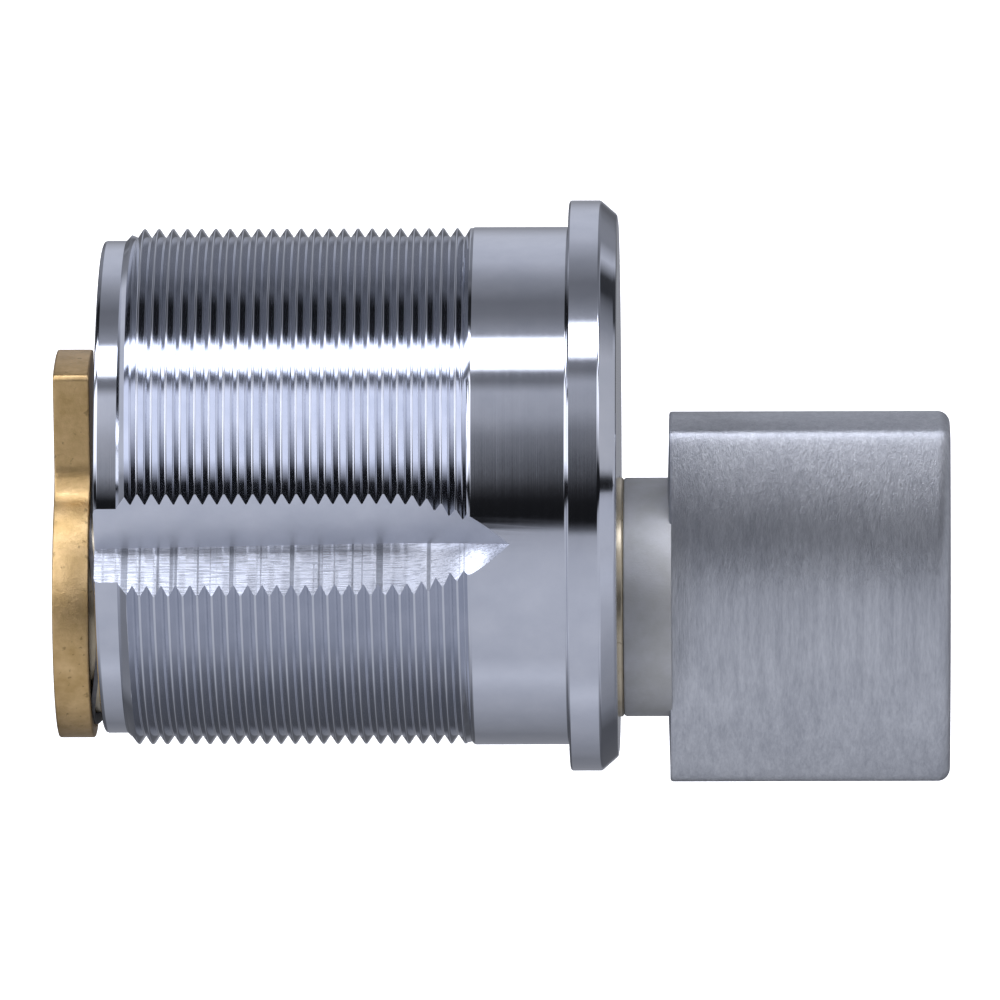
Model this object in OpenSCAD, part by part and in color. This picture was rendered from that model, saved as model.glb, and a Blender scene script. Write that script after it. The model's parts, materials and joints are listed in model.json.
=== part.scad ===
// Threaded mortise lock cylinder with an off-centre thumbturn in front and a cam behind.
// +X runs along the barrel towards the thumbturn, +Z is up, and the origin is the centre
// of the flange's back face, on the barrel's axis.

/* [Flange and barrel] */
// Diameter of the flange
flange_d = 31.85; // [30.5:0.05:33]
// Thickness of the flange
flange_t = 2.72; // [2.3:0.02:3.5]
// Diameter of the plain shank behind the flange
shank_d = 28.9; // [28.8:0.05:29.4]
// Length of the plain shank
shank_len = 5.4; // [4:0.1:8]
// Outside diameter of the thread
thread_d = 28.8; // [28.4:0.05:28.8]
// Distance from one thread crest to the next
thread_pitch = 0.79375; // [0.7:0.00125:0.9]
// Turns of thread
thread_turns = 24; // [16:1:30]
// Diameter of the plain lead at the back end
lead_d = 27.5; // [27.2:0.05:27.8]
// Length of the plain lead
lead_len = 1.525; // [1:0.025:3]

/* [Set-screw grooves] */
// Distance from the barrel's axis to the bottom of each groove
groove_depth_at = 12.26; // [11.8:0.02:12.8]
// Upward tilt of the groove cutter, in degrees
groove_tilt = 14.8; // [0:0.2:20]
// Radius of the disc cutter that leaves the run-out
cutter_r = 10; // [8:0.5:12]
// Distance from the flange to where the groove starts to rise
groove_full_at = 9.7; // [8:0.1:14]

/* [Plug] */
// Distance of the plug's axis below the barrel's axis
plug_drop = 6.5; // [6.3:0.01:6.6]
// Diameter of the plug
plug_d = 12.7; // [12.6:0.02:12.72]
// Diameter of the plug's head
head_d = 13.4; // [13.3:0.05:14.3]
// How far the plug's head stands proud of the flange
head_proud = 0.25; // [0.1:0.05:0.5]

/* [Thumbturn] */
// Width of the knob across its round ends
knob_w = 20.9; // [19:0.1:22]
// Thickness of the knob at its middle
knob_t = 9.2; // [8.4:0.1:9.6]
// Radius of the knob's two bulging sides
knob_side_r = 23; // [20:0.5:28]
// Distance from the flange's front to the knob's back edge
knob_gap = 2.83; // [2.6:0.01:4]
// Length of the knob from its back edge to its front face
knob_len = 15.65; // [13:0.05:18]
// Rounding of the knob's front edges
knob_edge_r = 0.55; // [0.3:0.05:0.8]
// Diameter of the knob's hub
hub_d = 13.36; // [13:0.02:13.8]

/* [Cam] */
// Diameter of the cam's round part
cam_disc_d = 15.6; // [14.8:0.1:15.6]
// Distance from the plug's axis to the end of the lobe
cam_reach = 14; // [12:0.1:16]
// Width of the lobe
cam_lobe_w = 5.6; // [5:0.1:6.6]
// Thickness of the lobe
cam_t = 2.02; // [1.9:0.02:2.5]
// Space between the barrel's back face and the lobe
cam_gap = 0.67; // [0.5:0.01:0.8]

/* [Detents] */
// Diameter of each detent ball
ball_d = 2.4; // [2.2:0.05:2.5]
// How far a ball sinks into a dimple
dimple_depth = 0.35; // [0.2:0.05:0.4]

/* [Hidden] */
$fn = 96;
eps = 0.01;

fit = 0.05;                                   // radial play of a shaft in its hole
thread_depth = 0.49;
crest_w = thread_pitch / 8;
thread_back = -(shank_len + thread_pitch * thread_turns);
barrel_back = thread_back - lead_len;
flange_front = flange_t;
flange_edge = 0.16;
bevel_len = 0.95;
bevel_drop = 0.77;

head_front = flange_front + head_proud;
head_t = 1.2;
head_back = head_front - head_t;
seat_depth = 0.25;                            // the plug's end sits in a shallow seat in the cam
cam_front = barrel_back - cam_gap;
cam_back = cam_front - cam_t;
plug_back = cam_front - seat_depth;
plug_r = plug_d / 2;
bore_r = plug_r + fit;

knob_back = flange_front + knob_gap;
knob_front = knob_back + knob_len;
knob_cone = 0.3;                              // the knob's back face leans in by this at the hub
tenon_r = 4;
tenon_back = -6;
pin_r = 1;
pin_at = -2.5;

detent_at = -13;
ball_r = ball_d / 2;
ride_r = bore_r - ball_r - 0.02;              // ball centre from the plug's axis, between dimples
pocket_floor = 2.2;
spring_wire = 0.26;
spring_coil_r = 0.9;
spring_turns = 4;

cam_screw_at = 4;
screw_r = 1.2;
screw_head_r = 2.2;
screw_head_t = 0.9;
screw_len = 7.5;

washer_in = plug_r + 0.1;
washer_out = 7.05;
washer_t = 0.25;
washer_waves = 3;

// The groove's two walls, as (outward, along the cutter's axis) from its deepest line.
groove_reach = 4.5;
groove_walls = [[0, 0], [groove_reach, 1.183 * groove_reach], [groove_reach, -1.984 * groove_reach]];
groove_z = 0.07;

// Turns a shape built about +Z so that its axis runs along +X.
module along_x() { rotate([0, 90, 0]) children(); }

// Moves a shape from the barrel's axis to the plug's.
module at_plug() { translate([0, 0, -plug_drop]) children(); }

// A solid of revolution about the X axis, from points given as [radius, x].
module turned(points) { along_x() rotate_extrude() polygon(points); }

// A round rod along X from x0 to x1.
module rod(r, x0, x1) { translate([x0, 0, 0]) along_x() cylinder(r = r, h = x1 - x0); }

// A flat shape in the YZ plane, thickened along X from x0 to x1.
module slab(x0, x1) { translate([x0, 0, 0]) rotate([90, 0, 90]) linear_extrude(x1 - x0) children(); }

// Crest radius along the thread: the last turn at the back fades into the lead.
function crest_r(x) = min(thread_d / 2, lead_d / 2 + 0.65 * (x - thread_back + 0.1));

// One thread groove, from back to front, as [radius, x] points about the root at x.
function thread_groove(x) =
    let (top = (thread_pitch - crest_w) / 2, root = top - thread_depth * tan(30))
    [[crest_r(x - top), x - top],
     [min(crest_r(x - top), thread_d / 2 - thread_depth), x - root],
     [thread_d / 2 - thread_depth, x + root],
     [crest_r(x + top), x + top]];

// The thread is drawn as closed rings of its true profile and pitch.
thread_points = [
    for (i = [thread_turns - 1:-1:0]) each thread_groove(-shank_len - thread_pitch * (i + 0.5))
];

barrel_points = concat(
    [[0, barrel_back], [lead_d / 2 - 0.15, barrel_back], [lead_d / 2, barrel_back + 0.15],
     [lead_d / 2, thread_back - 0.1]],
    thread_points,
    [[shank_d / 2, -shank_len + 0.05], [shank_d / 2, 0],
     [flange_d / 2 - flange_edge, 0], [flange_d / 2, flange_edge],
     [flange_d / 2, flange_front - bevel_len], [flange_d / 2 - bevel_drop, flange_front - 0.05],
     [flange_d / 2 - bevel_drop - 0.05, flange_front], [0, flange_front]]);

// One groove for the lock's set screw, on the +Y side: a straight V and its rising run-out.
module set_screw_groove() {
    translate([0, groove_depth_at, groove_z]) rotate([groove_tilt, 0, 0]) {
        slab(barrel_back - 1, -groove_full_at) polygon(groove_walls);
        translate([-groove_full_at, cutter_r, 0]) rotate_extrude()
            polygon([for (p = groove_walls) [cutter_r - p[0], p[1]]]);
    }
}

module cylinder_body() {
    color("silver") difference() {
        turned(barrel_points);
        for (side = [0, 1]) mirror([0, side, 0]) set_screw_groove();
        at_plug() {
            rod(bore_r, barrel_back - 1, flange_front + 1);
            rod(head_d / 2 + fit, head_back - fit, flange_front + 1);
            turned([[0, barrel_back - eps], [bore_r + 0.25, barrel_back - eps],
                    [bore_r, barrel_back + 0.25], [0, barrel_back + 0.25]]);
            for (a = [0:90:270]) rotate([a, 0, 0])
                translate([detent_at, 0, ride_r + dimple_depth]) sphere(r = ball_r + 0.04);
        }
    }
}

module plug() {
    color("goldenrod") at_plug() difference() {
        turned([[0, plug_back], [plug_r - 0.2, plug_back], [plug_r, plug_back + 0.2],
                [plug_r, head_back], [head_d / 2, head_back],
                [head_d / 2, head_front - 0.1], [head_d / 2 - 0.1, head_front], [0, head_front]]);
        rod(tenon_r + fit, tenon_back - 0.4, head_front + 1);
        translate([pin_at, 0, 0]) rotate([90, 0, 0])
            cylinder(r = pin_r + 0.02, h = plug_d + 1, center = true);
        for (side = [-1, 1]) {
            translate([detent_at, 0, 0]) scale([1, 1, side]) translate([0, 0, pocket_floor])
                cylinder(r = ball_r + fit, h = plug_r);
            translate([0, side * cam_screw_at, 0])
                rod(screw_r + fit, plug_back - 1, cam_back + screw_len + 0.6);
        }
    }
}

// One bulging side of the knob: a large round bar with rounded front edges, reaching down
// past the opposite side.
module knob_side() {
    r = knob_side_r;
    e = knob_edge_r;
    translate([0, r - knob_t / 2, 0]) along_x() rotate_extrude() union() {
        translate([0, head_front]) square([r, knob_front - e - head_front]);
        translate([0, head_front]) square([r - e, knob_front - head_front]);
        translate([r - e, knob_front - e]) circle(r = e);
    }
}

// The thumbturn's outline turned about the plug's axis: hub, leaning back face, round ends.
module thumbturn_turned() {
    r = knob_w / 2;
    e = knob_edge_r;
    along_x() rotate_extrude() union() {
        polygon([[0, head_front], [hub_d / 2 - 0.15, head_front], [hub_d / 2, head_front + 0.15],
                 [hub_d / 2, knob_back - knob_cone], [r - 0.25, knob_back], [r, knob_back + 0.25],
                 [r, knob_front - e], [0, knob_front - e]]);
        translate([0, knob_back + 0.25]) square([r - e, knob_front - knob_back - 0.25]);
        translate([r - e, knob_front - e]) circle(r = e);
    }
}

module thumbturn() {
    color("lightsteelblue") at_plug() difference() {
        union() {
            intersection() {
                thumbturn_turned();
                knob_side();
                mirror([0, 1, 0]) knob_side();
            }
            rod(tenon_r, tenon_back, head_front + eps);
        }
        translate([pin_at, 0, 0]) rotate([90, 0, 0])
            cylinder(r = pin_r + 0.02, h = plug_d + 1, center = true);
    }
}

// A split spring pin through the plug and the thumbturn's tenon.
module thumbturn_pin() {
    color("dimgray") at_plug() translate([pin_at, 0, 0]) rotate([90, 0, 0]) difference() {
        cylinder(r = pin_r, h = plug_d - 0.5, center = true);
        cylinder(r = pin_r - 0.3, h = plug_d, center = true);
        translate([0, -0.15, -plug_r]) cube([pin_r + 1, 0.3, plug_d]);
    }
}

// Closed skin between successive rings of points, each ring of n points.
function ring_faces(rings, n) = [
    for (i = [0:rings - 2], k = [0:n - 1])
        [i * n + k, i * n + (k + 1) % n, (i + 1) * n + (k + 1) % n, (i + 1) * n + k]
];

// The wavy washer that takes up the end play between the barrel and the cam.
module wave_washer() {
    steps = 72;
    middle = (barrel_back + plug_back) / 2;
    swing = (barrel_back - plug_back - washer_t) / 2 - fit;
    corners = [[washer_in, -1], [washer_out, -1], [washer_out, 1], [washer_in, 1]];
    points = [
        for (i = [0:steps - 1], c = corners)
            let (a = 360 * i / steps)
            [middle + swing * sin(washer_waves * a) + c[1] * washer_t / 2,
             c[0] * sin(a), c[0] * cos(a)]
    ];
    faces = [
        for (i = [0:steps - 1], k = [0:3])
            let (j = (i + 1) % steps)
            [i * 4 + k, i * 4 + (k + 1) % 4, j * 4 + (k + 1) % 4, j * 4 + k]
    ];
    color("dimgray") at_plug() polyhedron(points, faces);
}

// A detent ball at rest, at the height where it rides between dimples; side is 1 up, -1 down.
module detent_ball(side) {
    color("gainsboro") at_plug() translate([detent_at, 0, side * ride_r]) sphere(r = ball_r);
}

// A detent's coil spring, from the pocket's floor up to the ball.
module detent_spring(side) {
    steps = 16;
    sides = 8;
    rings = steps * spring_turns + 1;
    low = pocket_floor + spring_wire / 2 + 0.01;
    touch = sqrt(pow(ball_r + spring_wire / 2, 2) - pow(spring_coil_r, 2));
    high = ride_r - touch - 0.02;
    points = [
        for (i = [0:rings - 1], k = [0:sides - 1])
            let (a = 360 * i / steps, b = 360 * k / sides,
                 r = spring_coil_r + spring_wire / 2 * cos(b))
            [r * cos(a), r * sin(a), low + (high - low) * i / (rings - 1) + spring_wire / 2 * sin(b)]
    ];
    ends = [[for (k = [0:sides - 1]) k], [for (k = [sides - 1:-1:0]) (rings - 1) * sides + k]];
    color("slategray") at_plug() translate([detent_at, 0, 0])
        rotate([side > 0 ? 0 : 180, 0, 0])
        polyhedron(points, concat(ring_faces(rings, sides), ends));
}

module detent_ball_upper() { detent_ball(1); }
module detent_ball_lower() { detent_ball(-1); }
module detent_spring_upper() { detent_spring(1); }
module detent_spring_lower() { detent_spring(-1); }

// The cam's outline: a disc, a lobe with a round end, and a small hollow at each foot.
module cam_outline() {
    foot = 2.3;
    foot_y = cam_lobe_w / 2 + foot;
    foot_z = sqrt(pow(cam_disc_d / 2 + foot, 2) - pow(foot_y, 2));
    intersection() {
        circle(r = cam_reach);
        translate([-cam_lobe_w / 2, 0]) square([cam_lobe_w, cam_reach]);
    }
    circle(d = cam_disc_d);
    difference() {
        translate([-foot_y, 0]) square([2 * foot_y, foot_z]);
        for (side = [-1, 1]) translate([side * foot_y, foot_z]) circle(r = foot);
        difference() {
            translate([-foot_y, 0]) square([2 * foot_y, foot_z - 0.01]);
            circle(r = cam_disc_d / 2 + foot);
        }
    }
}

module cam() {
    color("darkgoldenrod") at_plug() difference() {
        slab(cam_back, cam_front) cam_outline();
        rod(washer_out + 0.15, plug_back, cam_front + 1);
        for (side = [-1, 1]) translate([0, side * cam_screw_at, 0]) {
            rod(screw_r + 0.2, cam_back - 1, cam_front + 1);
            turned([[0, cam_back - eps], [screw_head_r + fit, cam_back - eps],
                    [screw_r + 0.2, cam_back + screw_head_t], [0, cam_back + screw_head_t]]);
        }
    }
}

// A slotted flat-head screw, flush in the cam.
module cam_screw(side) {
    slot_w = 0.55;
    color("darkkhaki") at_plug() translate([0, side * cam_screw_at, 0]) difference() {
        turned([[0, cam_back], [screw_head_r, cam_back],
                [screw_r, cam_back + screw_head_t], [screw_r, cam_back + screw_len - 0.4],
                [screw_r - 0.4, cam_back + screw_len], [0, cam_back + screw_len]]);
        translate([cam_back - 1, -slot_w / 2, -screw_head_r - 1])
            cube([1.5, slot_w, 2 * screw_head_r + 2]);
    }
}

module cam_screw_left() { cam_screw(1); }
module cam_screw_right() { cam_screw(-1); }

cylinder_body();
plug();
thumbturn();
thumbturn_pin();
wave_washer();
detent_ball_upper();
detent_ball_lower();
detent_spring_upper();
detent_spring_lower();
cam();
cam_screw_left();
cam_screw_right();
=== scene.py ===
"""Looks of the thumbturn mortise cylinder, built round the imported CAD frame. Lengths are in metres.

+X runs along the barrel towards the thumbturn, +Z is up, and the camera looks from -Y.
"""
import json
import math
import random

import bmesh
import bpy
from mathutils import Matrix, Vector


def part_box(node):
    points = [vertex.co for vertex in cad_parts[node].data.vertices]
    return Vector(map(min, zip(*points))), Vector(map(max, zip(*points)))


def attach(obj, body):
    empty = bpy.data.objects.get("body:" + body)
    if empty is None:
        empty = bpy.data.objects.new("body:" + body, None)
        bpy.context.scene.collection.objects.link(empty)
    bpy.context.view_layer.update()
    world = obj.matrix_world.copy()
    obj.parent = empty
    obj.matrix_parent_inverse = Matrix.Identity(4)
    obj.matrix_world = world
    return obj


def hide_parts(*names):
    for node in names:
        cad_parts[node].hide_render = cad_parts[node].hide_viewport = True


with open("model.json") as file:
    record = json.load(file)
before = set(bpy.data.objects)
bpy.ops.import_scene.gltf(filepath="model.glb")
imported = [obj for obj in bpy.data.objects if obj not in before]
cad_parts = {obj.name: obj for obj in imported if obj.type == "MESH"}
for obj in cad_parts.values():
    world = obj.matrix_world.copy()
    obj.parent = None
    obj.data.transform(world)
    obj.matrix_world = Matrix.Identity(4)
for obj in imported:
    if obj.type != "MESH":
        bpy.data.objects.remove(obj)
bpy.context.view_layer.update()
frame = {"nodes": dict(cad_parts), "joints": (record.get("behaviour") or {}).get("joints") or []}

MM = 0.001

# How far a cutter reaches past what it cuts
BEYOND = 1 * MM

# Places taken from the frame
BODY_LOW, BODY_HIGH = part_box("cylinder_body")
BARREL_BACK = BODY_LOW.x
FLANGE_FRONT = BODY_HIGH.x
FLANGE_R = BODY_HIGH.y
PLUG_Z = frame["joints"][0]["pos_m"][2]

# Detents
BALL_LOW, BALL_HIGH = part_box("detent_ball_upper")
BALL_R = (BALL_HIGH.x - BALL_LOW.x) / 2
DETENT_AT = (BALL_LOW.x + BALL_HIGH.x) / 2
BALL_SINK = 0.35 * MM
DIMPLE_OUT = BALL_HIGH.z - PLUG_Z - BALL_R + BALL_SINK
DIMPLE_GAP = 0.04 * MM

# Barrel
SHANK_R = 14.45 * MM
SHANK_BACK = -5.4 * MM
THREAD_R = 14.4 * MM
THREAD_ROOT_R = 13.91 * MM
THREAD_PITCH = 25.4 * MM / 32
THREAD_TURNS = 24
THREAD_BACK = SHANK_BACK - THREAD_PITCH * THREAD_TURNS
LEAD_FRONT = THREAD_BACK - 0.25 * MM
LEAD_R = 13.75 * MM
LEAD_ROUND = 0.2 * MM
BEVEL_LEN = 0.95 * MM
BEVEL_DROP = 0.77 * MM
BORE_R = 6.4 * MM
BORE_CHAMFER = 0.25 * MM
COUNTERBORE_R = 6.75 * MM
COUNTERBORE_DEPTH = 1.0 * MM
EDGE_ROUND = 0.12 * MM
# A crest stands at this x at this angle about the axis.
THREAD_CREST = -6.25 * MM
THREAD_PHASE = math.radians(73.7)
# A second ring this near to a corner keeps the shading flat up to it.
SUPPORT = 0.04 * MM
AROUND = 264

# Set-screw grooves: walls as slopes against the depth, from the deepest line
GROOVE_AT = Vector((0, 12.26 * MM, 0.07 * MM))
GROOVE_TILT = math.radians(14.8)
GROOVE_UPPER = 1.183
GROOVE_LOWER = -1.93
GROOVE_FULL = -9.5 * MM
# The deepest line's sideways shift at both ends, which fades to none at the surface
GROOVE_SHIFT_BACK = -0.06 * MM
GROOVE_SHIFT_FRONT = 0.22 * MM
GROOVE_SURFACE = 2.2 * MM
CUTTER_R = 10 * MM
# Distances between stations along the straight part and along the run-out
CHATTER_STEP = 0.05 * MM
RISE_STEP = 0.1 * MM

# Thumbturn
TURN_LOW, TURN_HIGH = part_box("thumbturn")
KNOB_FRONT = TURN_HIGH.x
KNOB_R = min(TURN_HIGH.z - PLUG_Z, PLUG_Z - TURN_LOW.z)
KNOB_HALF_T = 4.6 * MM
KNOB_SIDE_R = 23 * MM
KNOB_BACK = FLANGE_FRONT + 2.83 * MM
KNOB_CONE = 0.3 * MM
KNOB_EDGE = 0.7 * MM
KNOB_SHARPNESS = 52
HUB_R = 6.68 * MM
HEAD_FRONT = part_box("plug")[1].x
TENON_R = 4 * MM
TENON_BACK = TURN_LOW.x

# Cam
CAM_LOW, CAM_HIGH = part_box("cam")
CAM_R = 7.8 * MM
CAM_REACH = CAM_HIGH.z - PLUG_Z
LOBE_HALF = 2.8 * MM
CAM_FOOT = 2.3 * MM
CAM_SEAT = 0.25 * MM
SEAT_R = 7.2 * MM
CAM_SCREW_AT = 4 * MM
SCREW_R = 1.2 * MM
SCREW_HEAD_R = 2.2 * MM
SCREW_HEAD_T = 0.9 * MM
SCREW_GAP = 0.2 * MM
SCREW_HEAD_GAP = 0.05 * MM


def new_piece(name, vertices, faces):
    """A mesh object from plain lists."""
    mesh = bpy.data.meshes.new(name)
    mesh.from_pydata(vertices, [], faces)
    mesh.validate()
    piece = bpy.data.objects.new(name, mesh)
    bpy.context.scene.collection.objects.link(piece)
    return piece


def outward(piece):
    """Turns all faces outward."""
    bm = bmesh.new()
    bm.from_mesh(piece.data)
    bmesh.ops.recalc_face_normals(bm, faces=bm.faces)
    bm.to_mesh(piece.data)
    bm.free()


def apply_modifiers(piece):
    """Replaces a piece's mesh by what its modifiers make of it."""
    depsgraph = bpy.context.evaluated_depsgraph_get()
    mesh = bpy.data.meshes.new_from_object(piece.evaluated_get(depsgraph))
    piece.modifiers.clear()
    old, piece.data = piece.data, mesh
    bpy.data.meshes.remove(old)


def combine(piece, others, operation):
    """Cuts the other solids from the piece or joins them to it, and removes them."""
    for other in others:
        step = piece.modifiers.new("combine", "BOOLEAN")
        step.operation = operation
        step.solver = "MANIFOLD"
        step.object = other
        step.material_mode = "TRANSFER"
    apply_modifiers(piece)
    for other in others:
        bpy.data.objects.remove(other)


def smooth(piece, degrees=32):
    """Smooth shading that large faces dominate, kept sharp at edges over the given angle."""
    piece.data.shade_smooth()
    piece.data.set_sharp_from_angle(angle=math.radians(degrees))
    step = piece.modifiers.new("normals", "WEIGHTED_NORMAL")
    step.keep_sharp = True
    apply_modifiers(piece)


def lofted(name, rings):
    """A closed solid through rings of points, each with the same number of points."""
    around = len(rings[0])
    faces = []
    for low in range(0, (len(rings) - 1) * around, around):
        high = low + around
        for k in range(around):
            n = (k + 1) % around
            faces.append((low + k, low + n, high + n, high + k))
    faces.append(tuple(range(around)))
    faces.append(tuple(range((len(rings) - 1) * around, len(rings) * around)))
    piece = new_piece(name, [point for ring in rings for point in ring], faces)
    outward(piece)
    return piece


def circle(x, radius, z, around):
    """Points on a circle about an axis along X at height z."""
    angles = [2 * math.pi * k / around for k in range(around)]
    return [(x, radius * math.cos(angle), z + radius * math.sin(angle)) for angle in angles]


def turned(name, outline, z, around):
    """A closed solid turned about an axis along X at height z, from (x, radius) points."""
    return lofted(name, [circle(x, radius, z, around) for x, radius in outline])


def thread_profile():
    """One turn of the thread as (x, radius), from the crest's back to the root's front.

    Each corner has a second point close by, so that the shading stays flat between corners.
    """
    crest_side = [(0.02, 0.0), (0.05, 0.012), (0.07, 0.035), (0.088, 0.062)]
    root_side = [(0.03, 0.015), (0.048, 0.042)]
    root_at = THREAD_PITCH / 2
    crest = [(-x * MM, THREAD_R - drop * MM) for x, drop in reversed(crest_side)]
    crest += [(x * MM, THREAD_R - drop * MM) for x, drop in crest_side]
    root = [(root_at - x * MM, THREAD_ROOT_R + rise * MM) for x, rise in reversed(root_side)]
    root += [(root_at, THREAD_ROOT_R)]
    root += [(root_at + x * MM, THREAD_ROOT_R + rise * MM) for x, rise in root_side]
    return crest + root


def threaded_barrel():
    """The barrel's outside: lead, true helical thread, shank and flange, as one closed skin."""
    profile = thread_profile()
    per_turn = len(profile)
    # Two spare turns at each end, which end in the lead and in the shank
    columns = (THREAD_TURNS + 4) * per_turn
    first = THREAD_BACK - 2 * THREAD_PITCH
    phase = (THREAD_CREST - THREAD_PITCH * THREAD_PHASE / (2 * math.pi) - first) % THREAD_PITCH
    fade = 0.5 * THREAD_PITCH
    lead_slope = 1.1
    vertices, faces = [], []

    def add_ring(x, radius):
        """Adds a circle of vertices and returns the first one's number."""
        vertices.extend(circle(x, radius, 0, AROUND))
        return len(vertices) - AROUND

    lead_edge = BARREL_BACK + LEAD_ROUND
    back_rings = [add_ring(x, radius) for x, radius in (
        (BARREL_BACK, LEAD_R - LEAD_ROUND), (BARREL_BACK + 0.06 * MM, LEAD_R - 0.06 * MM),
        (lead_edge, LEAD_R), (lead_edge + SUPPORT, LEAD_R),
        (LEAD_FRONT - SUPPORT, LEAD_R), (LEAD_FRONT, LEAD_R))]
    bevel_back = FLANGE_FRONT - BEVEL_LEN
    bevel_front_r = FLANGE_R - BEVEL_DROP
    front_rings = [add_ring(x, radius) for x, radius in (
        (SHANK_BACK, THREAD_R), (SHANK_BACK + EDGE_ROUND, SHANK_R),
        (SHANK_BACK + EDGE_ROUND + SUPPORT, SHANK_R),
        (-0.1 * MM - SUPPORT, SHANK_R), (-0.1 * MM, SHANK_R), (0, SHANK_R + 0.06 * MM),
        (0, FLANGE_R - 0.16 * MM), (0.04 * MM, FLANGE_R - 0.05 * MM), (EDGE_ROUND, FLANGE_R),
        (EDGE_ROUND + SUPPORT, FLANGE_R), (bevel_back - 0.06 * MM - SUPPORT, FLANGE_R),
        (bevel_back - 0.06 * MM, FLANGE_R), (bevel_back + 0.05 * MM, FLANGE_R - 0.05 * MM),
        (bevel_back + 0.09 * MM, FLANGE_R - 0.085 * MM),
        (FLANGE_FRONT - 0.19 * MM, bevel_front_r + 0.095 * MM),
        (FLANGE_FRONT - 0.15 * MM, bevel_front_r + 0.06 * MM),
        (FLANGE_FRONT - 0.05 * MM, bevel_front_r - 0.05 * MM),
        (FLANGE_FRONT, bevel_front_r - 0.35 * MM), (FLANGE_FRONT, bevel_front_r - 0.42 * MM))]
    start, end = back_rings[-1], front_rings[0]
    index = {}

    def vertex(k, j):
        """The vertex of column j at angle step k; the last step joins the next turn's first."""
        if k == AROUND:
            k, j = 0, j + per_turn
        if j >= columns:
            return end + k
        if (k, j) not in index:
            along, radius = profile[j % per_turn]
            share = k / AROUND
            x = first + phase + (j // per_turn - 1 + share) * THREAD_PITCH + along
            if x <= LEAD_FRONT:
                index[k, j] = start + k
            elif x >= SHANK_BACK:
                index[k, j] = end + k
            else:
                radius = min(radius, LEAD_R + lead_slope * (x - LEAD_FRONT))
                radius = THREAD_R - (THREAD_R - radius) * min(1, (SHANK_BACK - x) / fade)
                angle = 2 * math.pi * share
                vertices.append((x, radius * math.cos(angle), radius * math.sin(angle)))
                index[k, j] = len(vertices) - 1
        return index[k, j]

    for k in range(AROUND):
        for j in range(columns - 1):
            corners = []
            for v in (vertex(k, j), vertex(k, j + 1), vertex(k + 1, j + 1), vertex(k + 1, j)):
                if v not in corners:
                    corners.append(v)
            if len(corners) > 2:
                faces.append(tuple(corners))
    for rings in (back_rings, front_rings):
        for low, high in zip(rings, rings[1:]):
            for k in range(AROUND):
                n = (k + 1) % AROUND
                faces.append((low + k, low + n, high + n, high + k))
    faces.append(tuple(range(back_rings[0], back_rings[0] + AROUND)))
    faces.append(tuple(range(front_rings[-1], front_rings[-1] + AROUND)))
    piece = new_piece("barrel_shell", vertices, faces)
    outward(piece)
    return piece


def chatter(seed):
    """How the groove's lower wall leans in turn more and less along X, as the cutter chattered."""
    draw = random.Random(seed)
    bands, x, side = [], BARREL_BACK - 2 * BEYOND, 1
    while x < GROOVE_FULL + BEYOND:
        width = draw.uniform(0.25, 1.1) * MM if side > 0 else draw.uniform(0.15, 0.5) * MM
        bands.append((x, x + width, side * draw.uniform(0.02, 0.05)))
        x += width
        side = -side

    def lean(at):
        for low, high, slope in bands:
            if low <= at < high:
                return slope
        return 0.0
    return lean


def groove_cutter(name, side, seed):
    """The space milled away by one groove: a straight V and the disc cutter's rising run-out."""
    reach = 4.5 * MM
    steps = 16
    rise_steps = 75
    lean = chatter(seed)
    lean_middle = 1.1 * MM
    stations = [BARREL_BACK - BEYOND]
    while stations[-1] < GROOVE_FULL - CHATTER_STEP:
        stations.append(stations[-1] + CHATTER_STEP)
    stations += [GROOVE_FULL + RISE_STEP * i for i in range(rise_steps)]
    cos_tilt, sin_tilt = math.cos(GROOVE_TILT), math.sin(GROOVE_TILT)
    rings = []
    for x in stations:
        run = max(0.0, x - GROOVE_FULL)
        along = min(1, (x - BARREL_BACK) / (GROOVE_FULL - BARREL_BACK))
        shift = GROOVE_SHIFT_BACK + (GROOVE_SHIFT_FRONT - GROOVE_SHIFT_BACK) * along
        upper, lower = [], []
        for i in range(steps + 1):
            depth = reach * i / steps
            lift = CUTTER_R - math.sqrt(max((CUTTER_R - depth) ** 2 - run ** 2, 0.0))
            offset = shift * max(0, 1 - depth / GROOVE_SURFACE)
            upper.append((lift, GROOVE_UPPER * depth + offset))
            offset += lean(x) * (depth - lean_middle) * min(1, i / 2)
            lower.append((lift, GROOVE_LOWER * depth + offset))
        # From the upper wall's far end in to the deepest line, and out again along the lower wall
        rings.append([(x, side * (GROOVE_AT.y + u * cos_tilt - v * sin_tilt),
                       GROOVE_AT.z + u * sin_tilt + v * cos_tilt) for u, v in upper[:0:-1] + lower])
    piece = lofted(name, rings)
    around = len(rings[0])
    for i in range((len(rings) - 1) * around):
        piece.data.polygons[i].material_index = 0 if i % around < steps else 1
    return piece


def dimple(quarter):
    """One ball-shaped hollow in the bore, the given number of quarter turns from the top."""
    radius = BALL_R + DIMPLE_GAP
    steps = 24
    angles = [math.pi * (i + 0.25) / (steps + 0.5) for i in range(steps + 1)]
    outline = [(DETENT_AT - radius * math.cos(angle), radius * math.sin(angle)) for angle in angles]
    piece = turned("dimple", outline, PLUG_Z, 48)
    for vertex in piece.data.vertices:
        vertex.co.y += DIMPLE_OUT * math.sin(math.pi / 2 * quarter)
        vertex.co.z += DIMPLE_OUT * math.cos(math.pi / 2 * quarter)
    return piece


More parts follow.
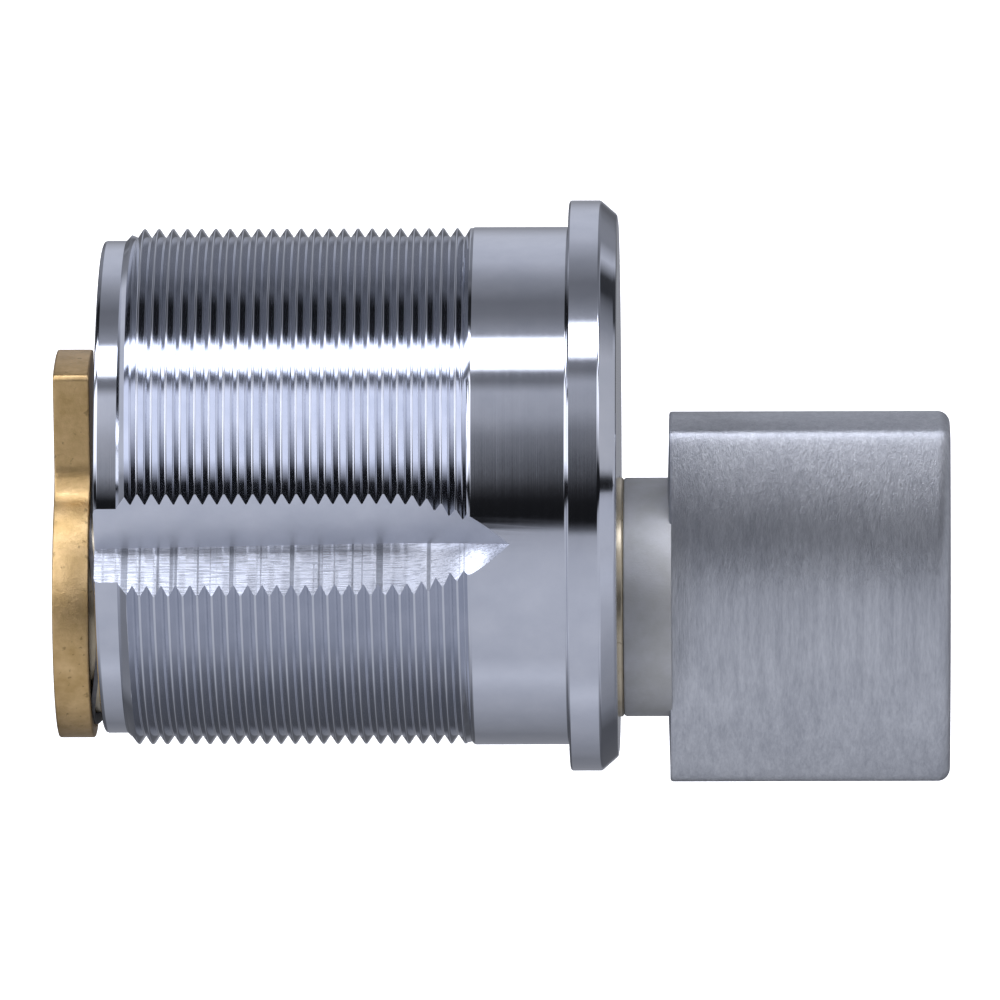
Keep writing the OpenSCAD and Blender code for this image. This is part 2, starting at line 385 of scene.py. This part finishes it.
def build_barrel():
    """The chrome barrel with its grooves and bore cut."""
    piece = threaded_barrel()
    bore = turned("bore", [(BARREL_BACK - BEYOND, BORE_R + BORE_CHAMFER),
                           (BARREL_BACK, BORE_R + BORE_CHAMFER),
                           (BARREL_BACK + BORE_CHAMFER, BORE_R),
                           (FLANGE_FRONT - COUNTERBORE_DEPTH, BORE_R),
                           (FLANGE_FRONT - COUNTERBORE_DEPTH, COUNTERBORE_R),
                           (FLANGE_FRONT - 0.1 * MM, COUNTERBORE_R),
                           (FLANGE_FRONT, COUNTERBORE_R + 0.1 * MM),
                           (FLANGE_FRONT + BEYOND, COUNTERBORE_R + 0.1 * MM)], PLUG_Z, 128)
    dress(piece, chrome_material())
    # Painted light: the upper wall's chrome is painted brighter and the lower wall's darker, and only the
    # lower wall gets the painted dark bands and streaks
    walls = (milled_material("milled_upper", 0.3, 0.4, 1.2, 0.0),
             milled_material("milled_lower", 0.1, 0.3, 0.95, 1.0))
    grooves = [groove_cutter("groove_near", -1, 4), groove_cutter("groove_far", 1, 9)]
    for groove in grooves:
        for wall in walls:
            groove.data.materials.append(wall)
    combine(piece, grooves + [bore] + [dimple(quarter) for quarter in range(4)], "DIFFERENCE")
    smooth(piece)
    return piece


def knob_outline(inset):
    """The knob's cross-section as (y, z) from its axis: two round ends and two bulging sides."""
    steps = 720
    end_r = KNOB_R - inset
    side_r = KNOB_SIDE_R - inset
    offset = KNOB_SIDE_R - KNOB_HALF_T
    points = []
    for k in range(steps):
        angle = 2 * math.pi * k / steps
        side = math.sqrt(side_r ** 2 - (offset * math.cos(angle)) ** 2) - offset * abs(math.sin(angle))
        # The smaller of the two distances, with a soft change from one to the other
        radius = (end_r ** -KNOB_SHARPNESS + side ** -KNOB_SHARPNESS) ** (-1 / KNOB_SHARPNESS)
        points.append((radius * math.sin(angle), radius * math.cos(angle)))
    return points


def build_thumbturn():
    """The knob, its hub and the tenon that enters the plug."""
    # Each ring: its x, its share of the full cross-section, and how far it is drawn in
    rings = [(KNOB_BACK - KNOB_CONE * (1 - share), share, 0.0) for share in (0.35, 0.6, 0.8, 0.92)]
    rings += [(KNOB_BACK - 0.02 * MM, 1, 0.14 * MM), (KNOB_BACK + 0.03 * MM, 1, 0.04 * MM),
              (KNOB_BACK + 0.12 * MM, 1, 0), (KNOB_BACK + 0.18 * MM, 1, 0),
              (KNOB_FRONT - KNOB_EDGE - 0.06 * MM, 1, 0)]
    arc_steps = 10
    for i in range(arc_steps + 1):
        angle = math.pi / 2 * i / arc_steps
        rings.append((KNOB_FRONT - KNOB_EDGE * (1 - math.sin(angle)), 1,
                      KNOB_EDGE * (1 - math.cos(angle))))
    knob = lofted("thumbturn_shell", [[(x, share * y, PLUG_Z + share * z) for y, z in knob_outline(inset)]
                                      for x, share, inset in rings])
    dress(knob, satin_material())
    hub = turned("hub", [(TENON_BACK, TENON_R - 0.15 * MM), (TENON_BACK + 0.15 * MM, TENON_R),
                         (HEAD_FRONT, TENON_R), (HEAD_FRONT, HUB_R - 0.15 * MM),
                         (HEAD_FRONT + 0.04 * MM, HUB_R - 0.05 * MM), (HEAD_FRONT + 0.15 * MM, HUB_R),
                         (KNOB_BACK + 0.1 * MM, HUB_R)], PLUG_Z, 240)
    dress(hub, hub_material())
    combine(knob, [hub], "UNION")
    smooth(knob, 28)
    return knob


def cam_outline():
    """The cam's outline as (y, z) from the plug's axis: one half from the lobe's top, then its mirror."""
    corner = 0.4 * MM
    top_steps, corner_steps, foot_steps, disc_steps = 6, 8, 8, 90
    inner = CAM_REACH - corner
    corner_z = math.sqrt(inner ** 2 - (LOBE_HALF - corner) ** 2)
    foot_y = LOBE_HALF + CAM_FOOT
    foot_z = math.sqrt((CAM_R + CAM_FOOT) ** 2 - foot_y ** 2)
    lean = math.atan2(LOBE_HALF - corner, corner_z)
    half = []
    for i in range(top_steps + 1):
        angle = lean * i / top_steps
        half.append((CAM_REACH * math.sin(angle), CAM_REACH * math.cos(angle)))
    for i in range(1, corner_steps + 1):
        angle = lean + (math.pi / 2 - lean) * i / corner_steps
        half.append((LOBE_HALF - corner + corner * math.sin(angle), corner_z + corner * math.cos(angle)))
    end = math.atan2(foot_z, foot_y)
    for i in range(foot_steps + 1):
        angle = math.pi + end * i / foot_steps
        half.append((foot_y + CAM_FOOT * math.cos(angle), foot_z + CAM_FOOT * math.sin(angle)))
    for i in range(1, disc_steps + 1):
        angle = end - (end + math.pi / 2) * i / disc_steps
        half.append((CAM_R * math.cos(angle), CAM_R * math.sin(angle)))
    return half + [(-y, z) for y, z in half[-2:0:-1]]


def build_cam():
    """The pressed brass cam: rounded edges, two countersunk screw holes, a shallow seat for the plug."""
    outline = cam_outline()
    piece = lofted("cam_plate", [[(x, y, PLUG_Z + z) for y, z in outline] for x in (CAM_LOW.x, CAM_HIGH.x)])
    bevel = piece.modifiers.new("edges", "BEVEL")
    bevel.width = 0.13 * MM
    bevel.segments = 3
    bevel.limit_method = "ANGLE"
    bevel.angle_limit = math.radians(60)
    seat = [(CAM_HIGH.x - CAM_SEAT, SEAT_R), (CAM_HIGH.x + BEYOND, SEAT_R)]
    cutters = [turned("seat", seat, PLUG_Z, 200)]
    for side in (-1, 1):
        hole = turned("hole", [(CAM_LOW.x - BEYOND, SCREW_HEAD_R + SCREW_HEAD_GAP),
                               (CAM_LOW.x, SCREW_HEAD_R + SCREW_HEAD_GAP),
                               (CAM_LOW.x + SCREW_HEAD_T, SCREW_R + SCREW_GAP),
                               (CAM_HIGH.x + BEYOND, SCREW_R + SCREW_GAP)], PLUG_Z, 64)
        for vertex in hole.data.vertices:
            vertex.co.y += side * CAM_SCREW_AT
        cutters.append(hole)
    combine(piece, cutters, "DIFFERENCE")
    smooth(piece, 35)
    return piece


class Nodes:
    """Adds linked nodes to a node tree."""

    def __init__(self, tree):
        self.tree = tree

    def node(self, kind, inputs=(), **settings):
        """A new node with its settings and inputs, where an input is a value or a socket to link."""
        made = self.tree.nodes.new(kind)
        for key, value in settings.items():
            setattr(made, key, value)
        for key, value in dict(inputs).items():
            self.feed(made.inputs[key], value)
        return made

    def feed(self, socket, value):
        """Sets a socket, or links it where the value is itself a socket."""
        if isinstance(value, bpy.types.NodeSocket):
            self.tree.links.new(value, socket)
        else:
            socket.default_value = value

    def math(self, operation, *values):
        made = self.node("ShaderNodeMath", operation=operation)
        for socket, value in zip(made.inputs, values):
            self.feed(socket, value)
        return made.outputs[0]

    def mix(self, share, first, second, **settings):
        return self.node("ShaderNodeMixRGB", {"Fac": share, "Color1": first, "Color2": second},
                         **settings).outputs[0]

    def ramp(self, value, stops):
        """Colours or greys at places from 0 to 1, blended between."""
        made = self.node("ShaderNodeValToRGB", {"Fac": value})
        elements = made.color_ramp.elements
        while len(elements) < len(stops):
            elements.new(0.5)
        for element, (at, colour) in zip(elements, stops):
            element.position = at
            element.color = (*colour, 1) if isinstance(colour, tuple) else (colour, colour, colour, 1)
        return made.outputs["Color"]


class Shader(Nodes):
    """Builds one node material around a Principled shader."""

    def __init__(self, name, **constants):
        self.material = bpy.data.materials.new(name)
        self.material.use_nodes = True
        super().__init__(self.material.node_tree)
        self.out = self.tree.nodes["Principled BSDF"]
        for key, value in constants.items():
            self.out.inputs[key.replace("_", " ")].default_value = value

    def place(self, scale=(1, 1, 1)):
        """Object coordinates in millimetres, stretched."""
        where = self.node("ShaderNodeTexCoord")
        return self.node("ShaderNodeMapping", {"Vector": where.outputs["Object"],
                                               "Scale": [share / MM for share in scale]}).outputs[0]

    def noise(self, vector, scale=1.0, detail=3.0, roughness=0.55):
        return self.node("ShaderNodeTexNoise", {"Vector": vector, "Scale": scale, "Detail": detail,
                                                "Roughness": roughness}).outputs["Fac"]

    def bands(self, w, scale=1.0, detail=3.0, roughness=0.6):
        """Noise along one number."""
        return self.node("ShaderNodeTexNoise", {"W": w, "Scale": scale, "Detail": detail,
                                                "Roughness": roughness}, noise_dimensions="1D").outputs["Fac"]

    def spread(self, value, low, high):
        """Maps 0 to 1 onto low to high."""
        return self.node("ShaderNodeMapRange", {"Value": value, "To Min": low, "To Max": high}).outputs[0]

    def bump(self, height, distance, strength=1.0, normal=None):
        inputs = {"Height": height, "Distance": distance, "Strength": strength}
        if normal is not None:
            inputs["Normal"] = normal
        return self.node("ShaderNodeBump", inputs).outputs[0]

    def finished(self, **sockets):
        """The material, with these sockets linked to the Principled shader."""
        for key, value in sockets.items():
            self.tree.links.new(value, self.out.inputs[key.replace("_", " ")])
        return self.material


def turning_marks(shader):
    """A number in millimetres that runs across the lathe's marks: along X and out from the axis."""
    split = shader.node("ShaderNodeSeparateXYZ", {"Vector": shader.place()})
    y, z = split.outputs["Y"], split.outputs["Z"]
    squares = shader.math("ADD", shader.math("MULTIPLY", y, y), shader.math("MULTIPLY", z, z))
    return shader.math("ADD", split.outputs["X"], shader.math("SQRT", squares))


def chrome_tint(light):
    """The chrome's darker and lighter colour, scaled by light; a light other than 1 paints the chrome
    brighter or darker.
    """
    return [(0.25, (0.56 * light, 0.585 * light, 0.65 * light)),
            (0.75, (0.64 * light, 0.66 * light, 0.72 * light))]


def chrome_material():
    """The barrel: polished chrome with faint turning marks."""
    shader = Shader("polished_chrome", Metallic=1.0)
    marks = turning_marks(shader)
    fine = shader.bands(marks, 22, 4)
    broad = shader.bands(marks, 2.3, 2)
    colour = shader.ramp(shader.noise(shader.place(), 0.45, 4), chrome_tint(1.0))
    rough = shader.spread(shader.math("MULTIPLY", shader.math("ADD", fine, broad), 0.5), 0.03, 0.12)
    normal = shader.bump(fine, 0.0006 * MM, 0.6)
    normal = shader.bump(shader.noise(shader.place(), 1.6, 3), 0.002 * MM, 0.3, normal)
    return shader.finished(Base_Color=colour, Roughness=rough, Normal=normal)


def milled_material(name, rough_low, rough_high, light, painted_shade_share):
    """A groove's wall: chrome over long cutter marks along the barrel, with painted shade as dark bands
    across it and dark streaks along the marks, and a light factor that paints the wall brighter or darker.
    """
    shader = Shader(name, Metallic=1.0)
    marks = shader.noise(shader.place((0.7, 11, 11)), 1, 4, 0.6)
    colour = shader.ramp(shader.noise(shader.place(), 0.5, 3), chrome_tint(light))
    along = shader.node("ShaderNodeSeparateXYZ", {"Vector": shader.place()}).outputs["X"]
    # Painted shade: dark bands across the wall and dark streaks along the cutter marks stand in for the
    # chatter's dark reflections; the upper wall gets none
    painted_band_shade = shader.ramp(shader.bands(along, 1.5, 2), [(0.36, 0.75 * painted_shade_share), (0.43, 0.0)])
    painted_streak_shade = shader.math("MULTIPLY", shader.ramp(marks, [(0.48, 0.0), (0.62, 1.0)]), 0.5 * painted_shade_share)
    colour = shader.mix(shader.math("MAXIMUM", painted_band_shade, painted_streak_shade), colour, (0.13, 0.14, 0.16, 1))
    return shader.finished(Base_Color=colour, Roughness=shader.spread(marks, rough_low, rough_high),
                           Normal=shader.bump(marks, 0.004 * MM, 0.7))


def satin_material():
    """The knob: chrome brushed along Z, with a fine grain."""
    shader = Shader("satin_chrome", Metallic=1.0, Anisotropic=0.75)
    tangent = shader.node("ShaderNodeTangent", direction_type="RADIAL", axis="Z").outputs[0]
    strokes = shader.noise(shader.place((9, 9, 0.3)), 1, 6, 0.75)
    long_strokes = shader.noise(shader.place((2.6, 2.6, 0.05)), 1, 3)
    cloud = shader.noise(shader.place((0.3, 0.3, 0.2)), 1, 3)
    grain = shader.noise(shader.place((8, 8, 1.3)), 1, 3, 0.7)
    tone = shader.math("ADD", shader.math("MULTIPLY", long_strokes, 0.35),
                       shader.math("MULTIPLY", cloud, 0.25))
    tone = shader.math("ADD", tone, shader.math("MULTIPLY", grain, 0.4))
    colour = shader.ramp(tone, [(0.38, (0.43, 0.445, 0.48)), (0.62, (0.62, 0.635, 0.665))])
    normal = shader.bump(strokes, 0.03 * MM, 1.0)
    normal = shader.bump(shader.noise(shader.place((7, 7, 1.1)), 1, 4, 0.75), 0.022 * MM, 1.0, normal)
    return shader.finished(Base_Color=colour, Roughness=shader.spread(strokes, 0.24, 0.4),
                           Normal=normal, Tangent=tangent)


def hub_material():
    """The hub: an even, finely speckled satin."""
    shader = Shader("hub_satin", Metallic=1.0)
    grain = shader.noise(shader.place((5, 9, 9)), 1, 5, 0.7)
    cloud = shader.noise(shader.place(), 0.7, 3)
    colour = shader.ramp(cloud, [(0.3, (0.53, 0.53, 0.51)), (0.7, (0.61, 0.61, 0.61))])
    return shader.finished(Base_Color=colour, Roughness=shader.spread(grain, 0.45, 0.68),
                           Normal=shader.bump(grain, 0.012 * MM, 0.8))


def brass_material(name, light, dark, rough_low, rough_high, bump):
    """Brass that is cloudy between two colours, with small dark specks."""
    shader = Shader(name, Metallic=1.0)
    cloud = shader.noise(shader.place(), 0.9, 5, 0.6)
    grain = shader.noise(shader.place(), 4, 5, 0.65)
    specks = shader.ramp(shader.noise(shader.place(), 2.4, 2, 0.5), [(0.66, 0.0), (0.72, 1.0)])
    colour = shader.ramp(cloud, [(0.3, dark), (0.7, light)])
    colour = shader.mix(shader.math("MULTIPLY", specks, 0.45), colour, (0.14, 0.085, 0.03, 1))
    return shader.finished(Base_Color=colour, Roughness=shader.spread(grain, rough_low, rough_high),
                           Normal=shader.bump(grain, bump, 0.7))


def steel_material(name, low, high, rough_low, rough_high):
    """Steel or zinc plate between two greys."""
    shader = Shader(name, Metallic=1.0)
    cloud = shader.noise(shader.place(), 1.5, 4)
    fine = shader.noise(shader.place(), 8, 3)
    colour = shader.ramp(cloud, [(0.3, (low, low, low * 1.05)), (0.7, (high, high, high * 1.04))])
    return shader.finished(Base_Color=colour, Roughness=shader.spread(fine, rough_low, rough_high),
                           Normal=shader.bump(fine, 0.002 * MM, 0.5))


def dress(piece, material):
    """Gives a piece one material."""
    piece.data.materials.clear()
    piece.data.materials.append(material)


def studio():
    """The world: a strip-lit studio whose light depends on the angle about the barrel's axis."""
    # Degrees up from the camera-side horizon, over the top and down behind, and the light there
    stops = [(-180, 0.35), (-150, 0.28), (-130, 0.25), (-107, 0.42), (-90, 0.57),
             (-78, 0.72), (-66, 0.62), (-50, 0.64), (-30, 0.66), (-14, 0.61), (-4, 0.5), (-1.5, 0.12),
             (1, 0.01), (15, 0.015), (26, 0.094), (38, 0.21), (47, 0.42), (58, 0.50), (63, 0.21),
             (68.5, 0.25), (70.5, 4.0), (83.5, 4.0), (86, 0.45), (93, 0.3), (98, 0.23), (106, 0.21),
             (120, 0.37), (135, 0.65), (150, 0.72), (163, 0.68), (172, 0.5), (180, 0.35)]
    world = bpy.data.worlds.new("studio")
    bpy.context.scene.world = world
    world.use_nodes = True
    sky = Nodes(world.node_tree)
    where = sky.node("ShaderNodeTexCoord").outputs["Generated"]
    split = sky.node("ShaderNodeSeparateXYZ", {"Vector": where})
    x = split.outputs["X"]
    sideways = sky.math("ABSOLUTE", x)
    angle = sky.math("ARCTAN2", split.outputs["Z"], sky.math("MULTIPLY", split.outputs["Y"], -1))

    def span(value, *ranges):
        """The product of ramps from 0 to 1, each over (from, to)."""
        steps = [sky.node("ShaderNodeMapRange", {"Value": value, "From Min": low, "From Max": high})
                 for low, high in ranges]
        product = steps[0].outputs[0]
        for step in steps[1:]:
            product = sky.math("MULTIPLY", product, step.outputs[0])
        return product

    # Off to the sides everything stands a little higher.
    turn = sky.math("SUBTRACT", angle, sky.math("MULTIPLY", span(sideways, (0.2, 0.4)), math.radians(8)))

    def arc(*ranges):
        """The same over the angle, in degrees."""
        return span(turn, *[(math.radians(low), math.radians(high)) for low, high in ranges])

    def card(across, up):
        return sky.math("MULTIPLY", across, up)

    around = sky.node("ShaderNodeMapRange", {"Value": turn, "From Min": -math.pi, "From Max": math.pi})
    light = sky.ramp(around.outputs[0], [((degrees + 180) / 360, (0.95 * glow, 0.98 * glow, 1.1 * glow))
                                         for degrees, glow in stops])

    # Dark cards: overhead on the left and at both far sides, behind on the right, and a weaker one
    # behind and below
    shade = card(span(x, (-0.08, -0.2)), arc((84, 90), (128, 108)))
    edge = card(span(sideways, (0.72, 0.78), (0.88, 0.84)), arc((60, 66), (94, 88)))
    patch = card(span(x, (0.58, 0.66), (0.86, 0.8)), arc((118, 132), (160, 152)))
    behind = sky.math("MAXIMUM", arc((104, 122), (186, 180)), arc((-60, -108), (-186, -180)))
    dim = card(span(sideways, (0.06, 0.13), (0.6, 0.5)), behind)
    dark = sky.math("MAXIMUM", sky.math("MAXIMUM", shade, sky.math("MAXIMUM", edge, patch)),
                    sky.math("MULTIPLY", dim, 0.62))
    keep = sky.math("SUBTRACT", 1.0, sky.math("MULTIPLY", dark, 0.93))
    # Bright cards in front, on the left and on the right, and a grey one at the far right
    left = card(span(x, (-0.02, -0.2)), arc((10, 22), (64, 59)))
    right = card(span(x, (0.09, 0.17), (0.9, 0.84)), arc((18, 48), (64, 60)))
    bright = sky.math("MAXIMUM", left, sky.math("MULTIPLY", right, 0.85))
    far_right = card(span(x, (0.82, 0.88)), arc((20, 35), (142, 128)))
    colour = sky.mix(1.0, light, keep, blend_type="MULTIPLY")
    colour = sky.mix(bright, colour, (1.75, 1.78, 1.95, 1))
    colour = sky.mix(far_right, colour, (0.6, 0.61, 0.66, 1))
    sky.feed(world.node_tree.nodes["Background"].inputs["Color"], colour)


def build_floor():
    """The pale floor, which lights the scene a little but doesn't show in reflections."""
    half = 3
    floor = new_piece("floor", [(-half, -half, 0), (half, -half, 0), (half, half, 0), (-half, half, 0)],
                      [(0, 1, 2, 3)])
    floor.location.z = -0.035
    shader = Shader("floor_paper", Roughness=0.9, Emission_Color=(1, 1, 1, 1), Emission_Strength=0.75)
    tint = shader.ramp(shader.noise(shader.place((0.01, 0.01, 0.01)), 1, 2), [(0.3, 0.86), (0.7, 0.9)])
    dress(floor, shader.finished(Base_Color=tint))
    floor.visible_glossy = False


def place_camera():
    """A long lens at the photograph's viewing angle."""
    distance, lens, sensor = 0.70, 0.4511, 0.036
    elevation = math.radians(16.3)
    yaw = math.radians(-1.25)
    roll = math.radians(0.5)
    aim = Vector((-3.93, 0, -0.83)) * MM
    back = Vector((-math.sin(yaw) * math.cos(elevation), -math.cos(yaw) * math.cos(elevation),
                   math.sin(elevation)))
    data = bpy.data.cameras.new("camera")
    data.sensor_width = sensor / MM
    data.lens = lens / MM
    data.clip_start, data.clip_end = 0.01, 20
    camera = bpy.data.objects.new("camera", data)
    bpy.context.scene.collection.objects.link(camera)
    camera.rotation_mode = "QUATERNION"
    camera.location = aim + back * distance
    camera.rotation_quaternion = (-back).to_track_quat("-Z", "Y")
    camera.rotation_quaternion @= Matrix.Rotation(-roll, 3, "Z").to_quaternion()
    bpy.context.scene.camera = camera
    bpy.context.scene.view_settings.view_transform = "Standard"


def main():
    build_floor()
    place_camera()
    studio()
    barrel = build_barrel()
    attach(barrel, "barrel")
    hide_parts("cylinder_body")

    thumbturn = build_thumbturn()
    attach(thumbturn, "turning_group")
    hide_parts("thumbturn")

    cam = build_cam()
    dress(cam, brass_material("cam_brass", (0.76, 0.53, 0.26), (0.54, 0.36, 0.15), 0.22, 0.5, 0.03 * MM))
    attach(cam, "turning_group")
    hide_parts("cam")

    brass = brass_material("plug_brass", (0.62, 0.55, 0.42), (0.5, 0.43, 0.30), 0.25, 0.4, 0.002 * MM)
    # The dark steel is the pin's, washer's and springs' own finish; on the wave washer between cam and barrel
    # it also stands in for the shade in that slit, as painted shade
    dark = steel_material("spring_steel", 0.1, 0.16, 0.3, 0.45)
    ball = steel_material("ball_steel", 0.58, 0.64, 0.05, 0.12)
    zinc = steel_material("screw_steel", 0.45, 0.55, 0.25, 0.4)
    for material, names in ((brass, ["plug"]),
                            (dark, ["thumbturn_pin", "wave_washer",
                                    "detent_spring_upper", "detent_spring_lower"]),
                            (ball, ["detent_ball_upper", "detent_ball_lower"]),
                            (zinc, ["cam_screw_left", "cam_screw_right"])):
        for name in names:
            dress(frame["nodes"][name], material)


main()
